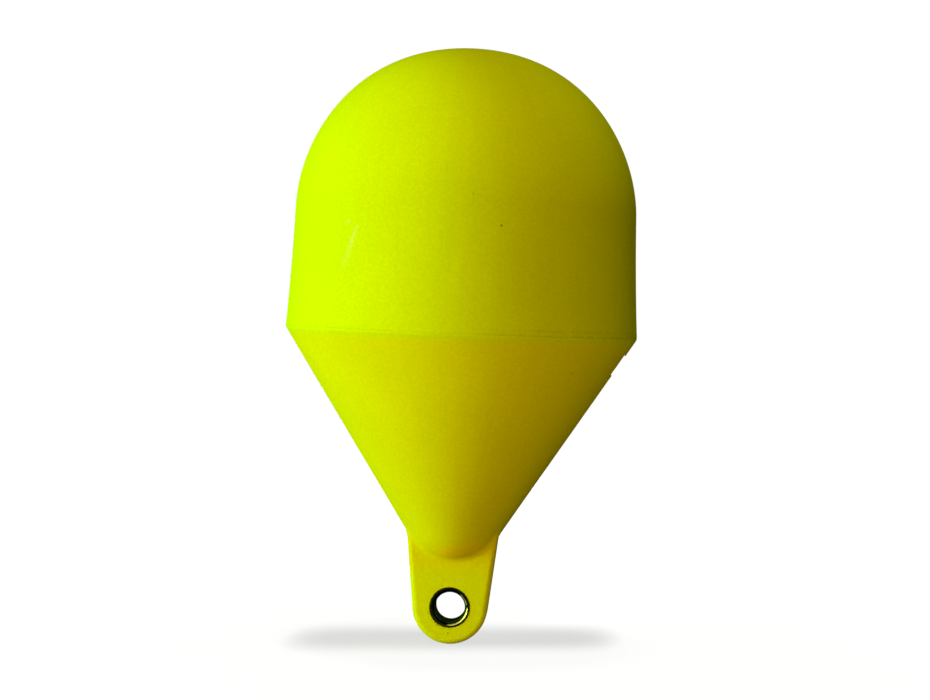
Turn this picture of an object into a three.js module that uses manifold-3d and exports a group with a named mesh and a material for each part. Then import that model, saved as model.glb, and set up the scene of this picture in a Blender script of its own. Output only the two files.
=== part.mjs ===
// A rigid mooring buoy: a domed float closed over a cone, with a lug moulded on the cone's tip
// and a steel bush lining the lug's eye.
//
// Millimetres, +Z up. The origin is on the axis, in the plane of the girth seam. The eye's axis
// lies along Y, the lug's flat faces look along -Y and +Y, and the filler plug is on the +X side.

import * as THREE from 'three';
import { mergeVertices } from 'three/addons/utils/BufferGeometryUtils.js';
import Manifold from 'manifold-3d';

const wasm = await Manifold();
wasm.setup();

// ---- Driving dimensions: millimetres, and degrees where the name says so ----

// Upper half: a skirt that flares down to the girth, and the dome over it.
const GIRTH_RADIUS = 200;
const SKIRT_FLARE = 6.2; // how much wider the girth is than the shoulder, in radius
const SHOULDER_DRAFT_DEG = 1.4;
const SKIRT_HEIGHT = 136.5;
const DOME_RISE = 184.5;
const CROWN_PULL = 133.5; // how far the level crown leads the dome's curve outwards
const SHOULDER_PULL = 76.5; // how far the upright shoulder leads the dome's curve upwards

// Lower half: a rounded knuckle under the girth, a cone, and the cone's round tip.
const KNUCKLE_RADIUS = 8;
const CONE_HALF_ANGLE_DEG = 32.75;
const TIP_RADIUS = 58.6;

// Lug: a tapered plate with a round foot, centred on the point where the cone would end.
const LUG_THICKNESS = 44;
const LUG_FOOT_RADIUS = 42.7;
const LUG_TAPER_DEG = 6.3;
const LUG_EDGE_RADIUS = 6;
const LUG_ROOT_RISE = 30; // how far the lug reaches up inside the cone, above the tip's centre

// Eye: a bell-mouthed bush through the lug.
const EYE_DROP = 0.75; // below the centre of the lug's round foot
const BUSH_RADIUS = 22.5;
const BUSH_THROAT_RADIUS = 16.9;
const BUSH_MOUTH_RADIUS = 20.7;
const BUSH_FLARE_DEPTH = 9;
const BUSH_PROUD = 0.8; // past the lug's face, on each side
const BUSH_CHAMFER = 0.6;

// Filler plug: a headed plug in a flat landing on the cone's flank.
const LANDING_DROP = 32.5; // the landing's middle, below the girth seam
const LANDING_LENGTH = 27.2; // down the slope
const LANDING_DEPTH = 2.4;
const PLUG_HEAD_RADIUS = 11;
const PLUG_HEAD_THICKNESS = 3;
const PLUG_HEAD_CHAMFER = 0.7;
const PLUG_PROUD = 0.8; // above the landing's floor
const PLUG_SHANK_RADIUS = 8;
const PLUG_SHANK_LENGTH = 14;

// Clearance between a piece and the hole it sits in.
const SEAT_CLEARANCE = 0.3;

// ---- Fineness of the facets ----

const FLOAT_SEGMENTS = 72;
const EYE_SEGMENTS = 48;
const PLUG_SEGMENTS = 32;
const DOME_STEPS = 14;
const SKIRT_STEPS = 4;
const KNUCKLE_STEPS = 3;
const TIP_STEPS = 6;
const FLARE_STEPS = 5;
const FOOT_STEPS = 24;
const LUG_EDGE_STEPS = 3;
const CUT_MARGIN = 5; // how far a cutter runs past what it cuts
const WELD_TOLERANCE = 1e-4;

// ---- Sizes that follow from them ----

const shoulderDraft = THREE.MathUtils.degToRad(SHOULDER_DRAFT_DEG);
const coneAngle = THREE.MathUtils.degToRad(CONE_HALF_ANGLE_DEG);
const lugTaper = THREE.MathUtils.degToRad(LUG_TAPER_DEG);
const shoulderRadius = GIRTH_RADIUS - SKIRT_FLARE;

// The knuckle is round from the girth until it lies along the cone.
const knuckleEnd = {
  radius: GIRTH_RADIUS - KNUCKLE_RADIUS * (1 - Math.cos(coneAngle)),
  height: -KNUCKLE_RADIUS * Math.sin(coneAngle),
};
const coneApexHeight = knuckleEnd.height - knuckleEnd.radius / Math.tan(coneAngle);
const tipCentreHeight = coneApexHeight + TIP_RADIUS / Math.sin(coneAngle);
const eyeHeight = coneApexHeight - EYE_DROP;
const bushLength = LUG_THICKNESS + 2 * BUSH_PROUD;

/** The cone's radius at a height between the knuckle and the round tip. */
function coneRadius(height) {
  return (height - coneApexHeight) * Math.tan(coneAngle);
}

// ---- Solids ----

/** Merges a geometry's shared corners and drops the empty triangles that meet at a pole. */
function welded(geometry) {
  geometry.deleteAttribute('normal');
  geometry.deleteAttribute('uv');
  const merged = mergeVertices(geometry, WELD_TOLERANCE);
  const corners = merged.index.array;
  const kept = [];
  for (let i = 0; i < corners.length; i += 3) {
    const [a, b, c] = corners.slice(i, i + 3);
    if (a !== b && b !== c && c !== a) kept.push(a, b, c);
  }
  merged.setIndex(kept);
  return merged;
}

/** A geometry as a solid that can be joined to others and cut by them. */
function toSolid(geometry) {
  const closed = welded(geometry);
  return new wasm.Manifold(new wasm.Mesh({
    numProp: 3,
    vertProperties: closed.attributes.position.array,
    triVerts: new Uint32Array(closed.index.array),
  }));
}

/** A solid back as a geometry. */
function toGeometry(solid) {
  const { vertProperties, triVerts } = solid.getMesh();
  const geometry = new THREE.BufferGeometry();
  geometry.setAttribute('position', new THREE.BufferAttribute(vertProperties, 3));
  geometry.setIndex(new THREE.BufferAttribute(triVerts, 1));
  return geometry;
}

/** Turns a profile of [radius, height] points about the Y axis. */
function turned(profile, segments) {
  const points = profile.map(([radius, height]) => new THREE.Vector2(radius, height));
  return new THREE.LatheGeometry(points, segments);
}

/** Points on an arc about [radius, height], from one angle to another, both ends included. */
function arc([centreRadius, centreHeight], radius, fromAngle, toAngle, steps) {
  return Array.from({ length: steps + 1 }, (_, i) => {
    const angle = THREE.MathUtils.lerp(fromAngle, toAngle, i / steps);
    return [centreRadius + radius * Math.cos(angle), centreHeight + radius * Math.sin(angle)];
  });
}

/** Points on a curve as [radius, height], without the curve's first point. */
function along(curve, steps) {
  return curve.getPoints(steps).slice(1).map((point) => [point.x, point.y]);
}

// ---- Float ----

/** The skirt and dome: their outline from the girth up to the crown. */
function upperOutline() {
  const crownHeight = SKIRT_HEIGHT + DOME_RISE;
  const leanIn = Math.tan(shoulderDraft);
  const girth = new THREE.Vector2(GIRTH_RADIUS, 0);
  const skirtMiddle = new THREE.Vector2(
    shoulderRadius + leanIn * SKIRT_HEIGHT / 2,
    SKIRT_HEIGHT / 2,
  );
  const shoulder = new THREE.Vector2(shoulderRadius, SKIRT_HEIGHT);
  const overShoulder = new THREE.Vector2(
    shoulderRadius - leanIn * SHOULDER_PULL,
    SKIRT_HEIGHT + SHOULDER_PULL,
  );
  const besideCrown = new THREE.Vector2(CROWN_PULL, crownHeight);
  const crown = new THREE.Vector2(0, crownHeight);
  const skirt = new THREE.QuadraticBezierCurve(girth, skirtMiddle, shoulder);
  const dome = new THREE.CubicBezierCurve(shoulder, overShoulder, besideCrown, crown);
  return [[GIRTH_RADIUS, 0], ...along(skirt, SKIRT_STEPS), ...along(dome, DOME_STEPS)];
}

/** The upper half, solid because it is filled with foam: from the seam's face to the crown. */
function upperHalf() {
  const profile = [[0, 0], ...upperOutline()];
  return welded(turned(profile, FLOAT_SEGMENTS).rotateX(Math.PI / 2));
}

/** The knuckle, cone and round tip, from the tip up to the seam's face. */
function coneSolid() {
  const tip = arc([0, tipCentreHeight], TIP_RADIUS, -Math.PI / 2, -coneAngle, TIP_STEPS);
  const knuckleCentre = [GIRTH_RADIUS - KNUCKLE_RADIUS, 0];
  const knuckle = arc(knuckleCentre, KNUCKLE_RADIUS, -coneAngle, 0, KNUCKLE_STEPS);
  tip[0][0] = 0;
  const profile = [...tip, ...knuckle, [0, 0]];
  return toSolid(turned(profile, FLOAT_SEGMENTS).rotateX(Math.PI / 2));
}

/** The lug's plate: straight tapered sides that run down into a round foot. */
function lugSolid() {
  const rootHeight = tipCentreHeight + LUG_ROOT_RISE;
  const footWidth = LUG_FOOT_RADIUS / Math.cos(lugTaper);
  const rootWidth = footWidth + (rootHeight - coneApexHeight) * Math.tan(lugTaper);
  const shape = new THREE.Shape();
  shape.moveTo(rootWidth, rootHeight);
  shape.lineTo(-rootWidth, rootHeight);
  shape.absarc(0, coneApexHeight, LUG_FOOT_RADIUS, Math.PI + lugTaper, 2 * Math.PI - lugTaper);
  const plate = new THREE.ExtrudeGeometry(shape, {
    depth: LUG_THICKNESS - 2 * LUG_EDGE_RADIUS,
    curveSegments: FOOT_STEPS,
    bevelThickness: LUG_EDGE_RADIUS,
    bevelSize: LUG_EDGE_RADIUS,
    bevelOffset: -LUG_EDGE_RADIUS,
    bevelSegments: LUG_EDGE_STEPS,
  });
  plate.translate(0, 0, LUG_EDGE_RADIUS - LUG_THICKNESS / 2);
  return toSolid(plate.rotateX(Math.PI / 2));
}

/** The hole through the lug that the bush sits in. */
function eyeHole() {
  const radius = BUSH_RADIUS + SEAT_CLEARANCE;
  const length = LUG_THICKNESS + 2 * CUT_MARGIN;
  const hole = new THREE.CylinderGeometry(radius, radius, length, EYE_SEGMENTS);
  return toSolid(hole.translate(0, 0, eyeHeight));
}

/** The lower half: cone and lug in one, cut for the bush, the landing and the plug. */
function lowerHalf(landing) {
  const body = coneSolid().add(lugSolid()).subtract(eyeHole());
  return toGeometry(body.subtract(landingCut(landing)).subtract(plugPocket(landing)));
}

// ---- Bush ----

/** The bush, turned about its own axis, with a bell mouth at both ends of its throat. */
function eyeBush() {
  const end = bushLength / 2;
  const widening = BUSH_MOUTH_RADIUS - BUSH_THROAT_RADIUS;
  const flareRadius = (BUSH_FLARE_DEPTH ** 2 + widening ** 2) / (2 * widening);
  const flareAngle = Math.asin(BUSH_FLARE_DEPTH / flareRadius);
  const centreRadius = BUSH_THROAT_RADIUS + flareRadius;
  const centreHeight = end - BUSH_FLARE_DEPTH;
  const profile = [
    [BUSH_RADIUS, -end + BUSH_CHAMFER],
    [BUSH_RADIUS, end - BUSH_CHAMFER],
    [BUSH_RADIUS - BUSH_CHAMFER, end],
    ...arc([centreRadius, centreHeight], flareRadius, Math.PI - flareAngle, Math.PI, FLARE_STEPS),
    ...arc([centreRadius, -centreHeight], flareRadius, Math.PI, Math.PI + flareAngle, FLARE_STEPS),
    [BUSH_RADIUS - BUSH_CHAMFER, -end],
    [BUSH_RADIUS, -end + BUSH_CHAMFER],
  ];
  return welded(turned(profile, EYE_SEGMENTS));
}

// ---- Filler plug ----

/** The landing's place: its origin on the floor's middle, its Z axis square out of the cone. */
function landingPlace() {
  const place = new THREE.Group();
  const outward = new THREE.Vector3(Math.cos(coneAngle), 0, -Math.sin(coneAngle));
  place.position.set(coneRadius(-LANDING_DROP), 0, -LANDING_DROP);
  place.position.addScaledVector(outward, -LANDING_DEPTH);
  place.rotation.y = Math.PI / 2 + coneAngle;
  place.updateMatrix();
  return place;
}

/** What the flat landing takes off the cone: a slot that runs out to both sides. */
function landingCut(landing) {
  const height = LANDING_DEPTH + CUT_MARGIN;
  const slot = new THREE.BoxGeometry(LANDING_LENGTH, GIRTH_RADIUS, height);
  slot.translate(0, 0, height / 2);
  return toSolid(slot.applyMatrix4(landing.matrix));
}

/** The stepped pocket under the landing that the plug's head and shank sit in. */
function plugPocket(landing) {
  const headRadius = PLUG_HEAD_RADIUS + SEAT_CLEARANCE;
  const shankRadius = PLUG_SHANK_RADIUS + SEAT_CLEARANCE;
  const headSeat = PLUG_PROUD - PLUG_HEAD_THICKNESS - SEAT_CLEARANCE;
  const bottom = headSeat - PLUG_SHANK_LENGTH;
  const profile = [
    [0, bottom],
    [shankRadius, bottom],
    [shankRadius, headSeat],
    [headRadius, headSeat],
    [headRadius, CUT_MARGIN],
    [0, CUT_MARGIN],
  ];
  const pocket = turned(profile, PLUG_SEGMENTS).rotateX(Math.PI / 2);
  return toSolid(pocket.applyMatrix4(landing.matrix));
}

/** The plug, in the landing's own place: a chamfered head on a plain shank. */
function fillerPlug() {
  const seat = PLUG_PROUD - PLUG_HEAD_THICKNESS;
  const profile = [
    [0, seat - PLUG_SHANK_LENGTH],
    [PLUG_SHANK_RADIUS, seat - PLUG_SHANK_LENGTH],
    [PLUG_SHANK_RADIUS, seat],
    [PLUG_HEAD_RADIUS, seat],
    [PLUG_HEAD_RADIUS, PLUG_PROUD - PLUG_HEAD_CHAMFER],
    [PLUG_HEAD_RADIUS - PLUG_HEAD_CHAMFER, PLUG_PROUD],
    [0, PLUG_PROUD],
  ];
  return welded(turned(profile, PLUG_SEGMENTS).rotateX(Math.PI / 2));
}

// ---- Finishes and assembly ----

const YELLOW_PLASTIC = { color: 0xd4e000, roughness: 0.45, metalness: 0 };
const DARK_STEEL = { color: 0x3a3f36, roughness: 0.3, metalness: 1 };

/** A named piece with its own material. */
function piece(name, geometry, finish) {
  const mesh = new THREE.Mesh(geometry, new THREE.MeshStandardMaterial(finish));
  mesh.name = name;
  return mesh;
}

const buoy = new THREE.Group();
const landing = landingPlace();
const bush = piece('eye_bush', eyeBush(), DARK_STEEL);
bush.position.z = eyeHeight;
landing.add(piece('filler_plug', fillerPlug(), YELLOW_PLASTIC));
buoy.add(
  piece('float_upper_half', upperHalf(), YELLOW_PLASTIC),
  piece('float_lower_half', lowerHalf(landing), YELLOW_PLASTIC),
  bush,
  landing,
);

export default buoy;
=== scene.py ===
"""Looks of a rigid mooring buoy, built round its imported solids. Metres, +Z up, eye along Y."""

import logging
import math
from dataclasses import dataclass, field, replace
from enum import Enum
from typing import Any, Mapping, Optional, Sequence, Union

import bmesh
import bpy
from bmesh.types import BMesh
from mathutils import Matrix, Vector, geometry


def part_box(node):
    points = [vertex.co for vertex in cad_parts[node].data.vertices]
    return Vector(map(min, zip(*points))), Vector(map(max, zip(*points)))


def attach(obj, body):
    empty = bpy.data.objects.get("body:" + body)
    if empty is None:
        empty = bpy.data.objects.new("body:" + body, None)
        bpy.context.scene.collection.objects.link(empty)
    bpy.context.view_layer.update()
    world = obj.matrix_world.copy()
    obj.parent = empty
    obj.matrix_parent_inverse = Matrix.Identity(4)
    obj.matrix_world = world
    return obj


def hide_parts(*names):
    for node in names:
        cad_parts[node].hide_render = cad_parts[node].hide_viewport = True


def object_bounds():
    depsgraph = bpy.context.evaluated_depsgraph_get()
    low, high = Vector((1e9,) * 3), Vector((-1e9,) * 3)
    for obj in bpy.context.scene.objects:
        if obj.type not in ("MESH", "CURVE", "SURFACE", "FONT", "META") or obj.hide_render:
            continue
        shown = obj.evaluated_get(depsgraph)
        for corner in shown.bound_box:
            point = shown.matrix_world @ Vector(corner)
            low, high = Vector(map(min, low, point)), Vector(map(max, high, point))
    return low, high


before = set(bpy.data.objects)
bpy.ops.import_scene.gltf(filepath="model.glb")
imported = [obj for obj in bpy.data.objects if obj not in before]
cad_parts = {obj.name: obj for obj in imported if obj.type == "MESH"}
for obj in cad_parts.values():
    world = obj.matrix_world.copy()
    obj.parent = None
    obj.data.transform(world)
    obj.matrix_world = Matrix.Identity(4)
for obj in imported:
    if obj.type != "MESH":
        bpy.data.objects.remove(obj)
CAD_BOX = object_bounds()

MM = 0.001
FULL_TURN = 2 * math.pi
QUARTER_TURN = math.pi / 2
WELD = 0.01 * MM
CUT_REACH = 8 * MM  # how far a cut goes past the surface that it opens
SEAT_CLEARANCE = 0.3 * MM  # how much wider a hole is than what sits in it, in radius
SEAM_EASING = 0.35 * MM  # the rounding of both halves' edges at the seam
SEAM_EASING_STEPS = 4
STEM_ROW = 1 * MM  # how far apart the rows of the lower half's stem are before they are shaped
LEAST_SLOPE = 0.1  # keeps a step towards a surface short where its slope is unclear
PULL = 2 / 3  # turns a curve with one middle point into the same curve with two
MATRIX_SIZE = 4  # the rows of a matrix that turns and moves
QUARTERS = 4
LOG = logging.getLogger("buoy")

Triple = tuple[float, float, float]
Colour = Triple
Outline = list[Vector]


class Axis(Enum):
    """An axis of the frame that a piece is turned about."""

    Y = Vector((0.0, 1.0, 0.0))
    Z = Vector((0.0, 0.0, 1.0))


@dataclass(frozen=True)
class Grain:
    """A noise pattern.

    Attributes:
        size: How far apart its lumps are, in metres.
        detail: How many finer layers lie over the first.
        low: The noise at which a lump starts.
        high: The noise at which it is full.
    """

    size: float
    detail: float
    low: float = 0.3
    high: float = 0.7

    def lumps(self, noise: "Signal") -> "Signal":
        """The pattern's lumps: 0 between them and 1 on them."""
        return noise.ramp(self.low, self.high)


# ---------------------------------------------------------------------------
# Shader maths
# ---------------------------------------------------------------------------


class Signal:
    """A shader socket that takes part in Python arithmetic: each operator adds a Math node."""

    def __init__(self, tree: "ShaderTree", socket: bpy.types.NodeSocket) -> None:
        """Wraps a socket.

        Args:
            tree: The tree that the socket's node belongs to.
            socket: The output that carries the value.
        """
        self.tree = tree
        self.socket = socket

    def __add__(self, other: "Value") -> "Signal":
        """This plus other."""
        return self.tree.math("ADD", self, other)

    def __radd__(self, other: "Value") -> "Signal":
        """Other plus this."""
        return self.tree.math("ADD", other, self)

    def __sub__(self, other: "Value") -> "Signal":
        """This minus other."""
        return self.tree.math("SUBTRACT", self, other)

    def __rsub__(self, other: "Value") -> "Signal":
        """Other minus this."""
        return self.tree.math("SUBTRACT", other, self)

    def __mul__(self, other: "Value") -> "Signal":
        """This times other."""
        return self.tree.math("MULTIPLY", self, other)

    def __rmul__(self, other: "Value") -> "Signal":
        """Other times this."""
        return self.tree.math("MULTIPLY", other, self)

    def __truediv__(self, other: "Value") -> "Signal":
        """This divided by other."""
        return self.tree.math("DIVIDE", self, other)

    def __abs__(self) -> "Signal":
        """This without its sign."""
        return self.tree.math("ABSOLUTE", self)

    def ramp(self, low: float, high: float) -> "Signal":
        """A smooth step of this value.

        Args:
            low: The value at which the step starts, where the result is 0.
            high: The value at which it ends, where the result is 1; it may lie under low.

        Returns:
            The step, from 0 to 1.
        """
        settings = {"interpolation_type": "SMOOTHSTEP"}
        limits = {"Value": self, "From Min": min(low, high), "From Max": max(low, high)}
        ends = (0.0, 1.0) if low < high else (1.0, 0.0)
        limits.update({"To Min": ends[0], "To Max": ends[1]})
        return self.tree.node("ShaderNodeMapRange", settings, limits, "Result")


Value = Union[Signal, float, Sequence[float]]


class ShaderTree:
    """The node tree of one material."""

    def __init__(self, name: str) -> None:
        """Makes a material with an empty tree.

        Args:
            name: The material's name.
        """
        self.material = bpy.data.materials.new(name)
        self.material.use_nodes = True
        self.tree = self.material.node_tree
        self.tree.nodes.clear()
        self.place = self.node("ShaderNodeTexCoord", {}, {}, "Object")

    def node(
        self,
        kind: str,
        settings: Mapping[str, Any],
        inputs: Mapping[Union[str, int], Value],
        output: Union[str, int] = 0,
    ) -> Signal:
        """Adds one node.

        Args:
            kind: The node's type.
            settings: Its own settings, which are set before its sockets.
            inputs: A value or a link for each socket, by identifier, name or place.
            output: The output that is wanted, by identifier, name or place.

        Returns:
            The output as a signal.
        """
        made = self.tree.nodes.new(kind)
        for name, setting in settings.items():
            setattr(made, name, setting)
        for key, value in inputs.items():
            socket = self.find(made.inputs, key)
            if isinstance(value, Signal):
                self.tree.links.new(value.socket, socket)
            else:
                socket.default_value = value
        return Signal(self, self.find(made.outputs, output))

    @staticmethod
    def find(sockets: Any, key: Union[str, int]) -> bpy.types.NodeSocket:
        """Finds a socket.

        Args:
            sockets: A node's inputs or outputs.
            key: The socket's place, identifier or name.

        Returns:
            The first socket that fits.
        """
        if isinstance(key, int):
            return sockets[key]
        return next(socket for socket in sockets if key in (socket.identifier, socket.name))

    def math(self, operation: str, *values: Value) -> Signal:
        """A Math node on one or more values."""
        return self.node("ShaderNodeMath", {"operation": operation}, dict(enumerate(values)))

    def vector(
        self, operation: str, *values: Value, output: str = "Vector", scale: Optional[Value] = None
    ) -> Signal:
        """A Vector Math node.

        Args:
            operation: What it does.
            *values: One or more vectors.
            output: The output that is wanted.
            scale: The number that a vector is multiplied by.

        Returns:
            The result.
        """
        inputs: dict[Union[str, int], Value] = dict(enumerate(values))
        if scale is not None:
            inputs["Scale"] = scale
        return self.node("ShaderNodeVectorMath", {"operation": operation}, inputs, output)

    def mix(self, factor: Value, low: Value, high: Value) -> Signal:
        """A colour between two colours.

        Args:
            factor: 0 for the first colour, 1 for the second.
            low: The first colour, with three parts, or a link.
            high: The second.

        Returns:
            The mixed colour.
        """
        colours = {
            key: value if isinstance(value, Signal) else (*value, 1.0)
            for key, value in (("A_Color", low), ("B_Color", high))
        }
        inputs = {"Factor_Float": factor, **colours}
        return self.node("ShaderNodeMix", {"data_type": "RGBA"}, inputs, "Result_Color")

    def grain(self, pattern: Grain, place: Optional[Signal] = None) -> Signal:
        """A noise pattern fixed to the object.

        Args:
            pattern: The pattern.
            place: The vector that it follows, if not the place itself.

        Returns:
            The noise, MEAN_NOISE on average.
        """
        inputs = {"Vector": place or self.place, "Scale": 1.0 / pattern.size, "Detail": pattern.detail}
        return self.node("ShaderNodeTexNoise", {}, inputs, "Fac")

    def part(self, axis: str) -> Signal:
        """One coordinate of the object's own space: X, Y or Z."""
        return self.node("ShaderNodeSeparateXYZ", {}, {"Vector": self.place}, axis)

    def along(self, start: Vector, end: Vector) -> Signal:
        """How far along a line the surface is.

        Args:
            start: Where the line starts.
            end: Where it ends.

        Returns:
            The share, from 0 at the start to 1 at the end.
        """
        way = end - start
        offset = self.vector("SUBTRACT", self.place, tuple(start))
        share = self.vector("DOT_PRODUCT", offset, tuple(way / way.length_squared), output="Value")
        return self.node("ShaderNodeClamp", {}, {"Value": share}, "Result")

    def from_line(self, start: Vector, end: Vector) -> Signal:
        """How far the surface is from the line between two points.

        Args:
            start: Where the line starts.
            end: Where it ends.

        Returns:
            The distance, in metres.
        """
        reached = self.vector("SCALE", tuple(end - start), scale=self.along(start, end))
        nearest = self.vector("ADD", tuple(start), reached)
        return self.vector("DISTANCE", self.place, nearest, output="Value")

    def from_axis(self, centre: Vector, keep: Triple) -> Signal:
        """How far the surface is from an axis through a point, in metres.

        Args:
            centre: A point on the axis.
            keep: 1 for each direction square to the axis and 0 for the direction along it.

        Returns:
            The distance.
        """
        offset = self.vector("SUBTRACT", self.place, tuple(centre))
        return self.vector("LENGTH", self.vector("MULTIPLY", offset, keep), output="Value")

    def bump(self, height: Signal, depth: float = 1.0, strength: float = 1.0) -> Signal:
        """A normal tilted by a height pattern.

        Args:
            height: The pattern.
            depth: How many metres a height of 1 is.
            strength: How much of it shows.

        Returns:
            The normal.
        """
        inputs = {"Height": height, "Distance": depth, "Strength": strength}
        return self.node("ShaderNodeBump", {}, inputs, "Normal")

    def surface(self, **inputs: Value) -> bpy.types.Material:
        """Ends the tree with a Principled shader.

        Args:
            **inputs: Its sockets, with an underscore for each space in a name.

        Returns:
            The finished material.
        """
        sockets = {name.replace("_", " "): value for name, value in inputs.items()}
        shader = self.node("ShaderNodeBsdfPrincipled", {}, sockets, "BSDF")
        self.node_output(shader)
        return self.material

    def node_output(self, shader: Signal) -> None:
        """Links a shader to the material's output."""
        output = self.tree.nodes.new("ShaderNodeOutputMaterial")
        self.tree.links.new(shader.socket, output.inputs["Surface"])


# ---------------------------------------------------------------------------
# Finishes
# ---------------------------------------------------------------------------


MEAN_NOISE = 0.5
MARK_CORE = 0.2  # the share of a mark's radius over which it has its full strength
SPECK_LENGTH = 0.4 * MM

# The plastic's patterns.
TINT = Grain(90 * MM, 3.0)
FLECKS = Grain(3 * MM, 4.0)
FLOW = Grain(14 * MM, 3.0)
PEEL = Grain(5 * MM, 2.0)
PORES = Grain(0.9 * MM, 2.0)
LONG_SCUFFS = Grain(9 * MM, 5.0, 0.60, 0.72)
SCUFFED_PLACES = Grain(60 * MM, 2.0, 0.52, 0.68)
SEAM_BREAKS = Grain(12 * MM, 4.0, 0.42, 0.64)
# Patches that break up the painted shade under the bush.
EYE_SHADE_PATCHES = Grain(3.5 * MM, 3.0, 0.42, 0.62)

# The steel's.
FILM = Grain(7 * MM, 4.0, 0.35, 0.65)
PITS = Grain(0.8 * MM, 3.0)


@dataclass(frozen=True)
class Mark:
    """A speck or a streak along a line; some are stains, some painted highlight and painted shade.

    Attributes:
        start: Where it starts.
        end: Where it ends; a speck ends where it starts.
        radius: How wide it is to each side.
        colour: Its colour.
        strength: How much of the plastic it hides at its start.
        fade: How much of that strength is gone at its end.
    """

    start: Vector
    end: Vector
    radius: float
    colour: Colour
    strength: float
    fade: float = 0.0

    def cover(self, tree: ShaderTree) -> Signal:
        """How much of the plastic the mark hides."""
        core = tree.from_line(self.start, self.end).ramp(self.radius, self.radius * MARK_CORE)
        return core * (1.0 - tree.along(self.start, self.end) * self.fade) * self.strength


RUST: Colour = (0.22, 0.05, 0.0)
# A pale tone for the painted highlight on the skirt's lit side.
PAINTED_HIGHLIGHT: Colour = (0.95, 0.95, 0.55)
SOOT: Colour = (0.25, 0.22, 0.0)
# A warm orange tone for the painted shade on the cone's tip.
PAINTED_TIP_SHADE: Colour = (0.98, 0.66, 0.0)


def speck(x: float, y: float, z: float, radius: float, colour: Colour, strength: float) -> Mark:
    """A round mark, its place and radius in millimetres."""
    place = Vector((x, y, z)) * MM
    return Mark(place, place + Vector((0, 0, SPECK_LENGTH)), radius * MM, colour, strength)


def streak(start: Vector, end: Vector, radius: float, colour: Colour, strength: float, fade: float) -> Mark:
    """A long mark, its ends and radius in millimetres."""
    return Mark(start * MM, end * MM, radius * MM, colour, strength, fade)


MARKS = (
    speck(46.5, -188.7, 116.2, 1.7, RUST, 0.85),
    speck(15.2, -192.4, 148.8, 1.2, SOOT, 0.7),
    speck(79.0, -177.4, 122.8, 1.2, SOOT, 0.25),
    speck(-0.9, -22.0, -343.6, 1.4, RUST, 0.6),
    # Painted highlight: a pale streak and dot on the skirt where a lamp's glint falls.
    speck(-119.8, -153.1, 115.7, 3.6, PAINTED_HIGHLIGHT, 0.06),
    streak(Vector((-110.6, -160.1, 109.8)), Vector((-115.5, -157.3, 93.7)), 3.0, PAINTED_HIGHLIGHT, 0.085, 0.2),
    streak(Vector((-115.5, -157.3, 93.7)), Vector((-123.3, -152.6, 68.4)), 6.0, PAINTED_HIGHLIGHT, 0.045, 0.6),
    # Painted shade: a warm orange patch on the cone's tip just above the lug.
    streak(Vector((-6.0, -36.0, -252.0)), Vector((24.0, -36.0, -244.0)), 19.0, PAINTED_TIP_SHADE, 0.6, 0.3),
    streak(Vector((126.0, -122.5, -39.2)), Vector((130.5, -118.0, -40.4)), 1.4, SOOT, 0.3, 0.5),
)


@dataclass(frozen=True)
class Band:
    """A colour that the plastic fades into below some height; some bands are painted shade and painted
    bounce light.

    Attributes:
        top: The height at which the fade starts.
        bottom: The height at which it ends.
        colour: The tone.
    """

    top: float
    bottom: float
    colour: Colour


# The lower half's golden tone below the seam, then painted warm shade on the cone's tip and painted
# bounce light on the lug.
GOLDEN_TONE_AND_PAINTED_LIGHT = (
    Band(0.0, -14 * MM, (0.75, 0.71, 0.0)),
    Band(-222 * MM, -254 * MM, (0.76, 0.675, 0.0)),
    Band(-258 * MM, -285 * MM, (0.74, 0.765, 0.0)),
)
LUG_CROWN = 0.7 * MM


@dataclass(frozen=True)
class Trace:
    """A thin dark trace round the float.

    Attributes:
        height: Its height above the seam.
        edge: How far from that height it ends.
        core: How far from that height it is at its darkest.
        share: How much of the plastic it hides there.
    """

    height: float
    edge: float
    core: float
    share: float

    def cover(self, height: Signal) -> Signal:
        """How much of the plastic the trace hides at a height."""
        return abs(height - self.height).ramp(self.edge, self.core) * self.share


TRACES = (Trace(0.4 * MM, 2.2 * MM, 0.2 * MM, 0.14), Trace(5.6 * MM, 2.2 * MM, 0.3 * MM, 0.12))


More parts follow.
